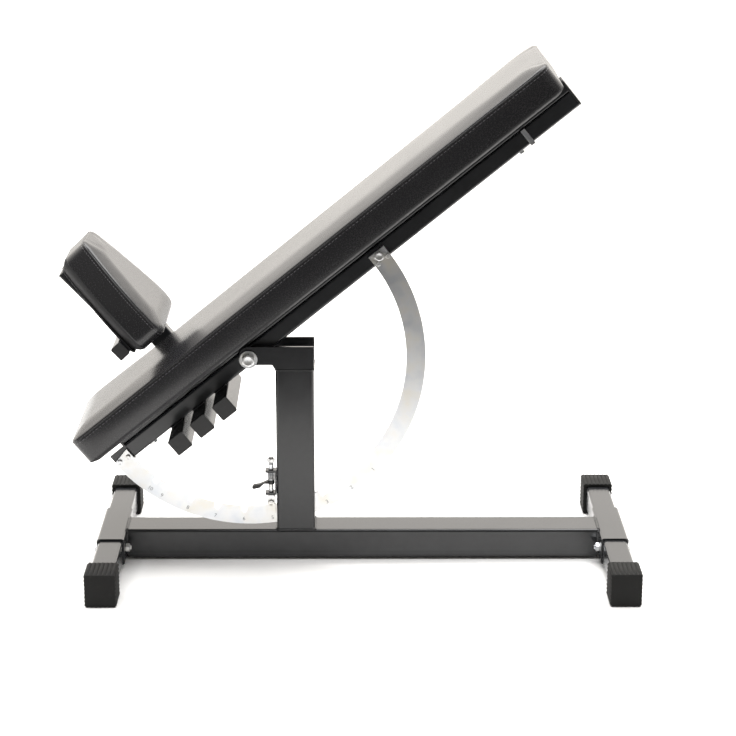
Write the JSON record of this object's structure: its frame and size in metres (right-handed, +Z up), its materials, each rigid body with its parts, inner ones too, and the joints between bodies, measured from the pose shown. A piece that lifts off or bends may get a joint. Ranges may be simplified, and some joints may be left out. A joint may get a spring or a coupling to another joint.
{
  "type": "adjustable weight bench",
  "caption": "Weight bench with a tilting back pad, a plug-in seat, a notched half-ring angle selector with a spring catch, and a steel base on rubber feet.",
  "frame": {"origin": "on the floor under the middle of the whole bench's outline, at rest", "axes": "+Z up, +X along the beam towards the head end, +Y to the side that the seat's arm is on"},
  "size_m": [0.9432, 0.466, 0.8561],
  "materials": {
    "satin_black_paint": "satin black powder coat",
    "zinc_plated_steel": "bright zinc plate with faint rolling marks",
    "black_rubber": "ribbed moulded rubber",
    "black_plastic": "moulded, fine matt texture",
    "black_vinyl": "upholstery vinyl with a fine grain",
    "birch_plywood": "plain plywood, hidden under the pads",
    "bronze": "plain bearing bronze"
  },
  "bodies": {
    "base": {"base_beam": "satin_black_paint", "upright": "satin_black_paint", "head_bracket": "satin_black_paint", "seat_end_sleeve": "satin_black_paint", "seat_end_leg": "satin_black_paint", "seat_end_bolt": "zinc_plated_steel", "seat_end_nut": "zinc_plated_steel", "seat_end_foot_near": "black_rubber", "seat_end_foot_far": "black_rubber", "head_end_sleeve": "satin_black_paint", "head_end_leg": "satin_black_paint", "head_end_bolt": "zinc_plated_steel", "head_end_nut": "zinc_plated_steel", "head_end_foot_near": "black_rubber", "head_end_foot_far": "black_rubber", "pivot_bolt": "zinc_plated_steel", "pivot_washer_near": "zinc_plated_steel", "pivot_washer_far": "zinc_plated_steel", "pivot_nut": "zinc_plated_steel", "catch_bracket": "satin_black_paint"},
    "catch": {"catch_yoke": "zinc_plated_steel", "catch_pin": "zinc_plated_steel", "catch_rod": "zinc_plated_steel", "catch_nut": "zinc_plated_steel", "catch_handle": "black_plastic", "catch_spring": "zinc_plated_steel"},
    "back": {"back_frame_tube": "satin_black_paint", "pad_rail": "satin_black_paint", "pivot_bush": "bronze", "thrust_washer_near": "black_plastic", "thrust_washer_far": "black_plastic", "frame_end_cap": "black_plastic", "frame_strap": "zinc_plated_steel", "selector_arc": "zinc_plated_steel", "arc_bolt": "zinc_plated_steel", "arc_screw_upper_1": "zinc_plated_steel", "arc_screw_upper_2": "zinc_plated_steel", "arc_screw_lower_1": "zinc_plated_steel", "arc_screw_lower_2": "zinc_plated_steel", "arc_end_bracket": "satin_black_paint", "receiver_1": "satin_black_paint", "receiver_plug_1": "black_plastic", "receiver_2": "satin_black_paint", "receiver_plug_2": "black_plastic", "receiver_3": "satin_black_paint", "receiver_plug_3": "black_plastic", "back_cushion": "black_vinyl", "back_board": "birch_plywood", "pad_bolt_1": "zinc_plated_steel", "pad_bolt_2": "zinc_plated_steel"},
    "seat": {"seat_cushion": "black_vinyl", "seat_board": "birch_plywood", "seat_plate": "satin_black_paint", "seat_cross_tube": "satin_black_paint", "seat_tube_plug": "black_plastic", "seat_spine": "satin_black_paint", "seat_spine_plug": "black_plastic", "seat_arm": "satin_black_paint", "seat_peg": "satin_black_paint"}
  },
  "joints": [
    {"name": "back_tilt", "type": "hinge", "parent": "base", "child": "back", "pos_m": [-0.16505, 0, 0.3535], "axis": [0, -1, 0], "range_deg": [-39.2, 43.8]},
    {"name": "catch_slide", "type": "slide", "parent": "base", "child": "catch", "axis": [0, 0, -1], "range_m": [0, 0.0125], "deforming": ["catch_spring"]},
    {"name": "seat_slide", "type": "slide", "parent": "back", "child": "seat", "axis": [0, 1, 0], "range_m": [0, 0.14]}
  ]
}
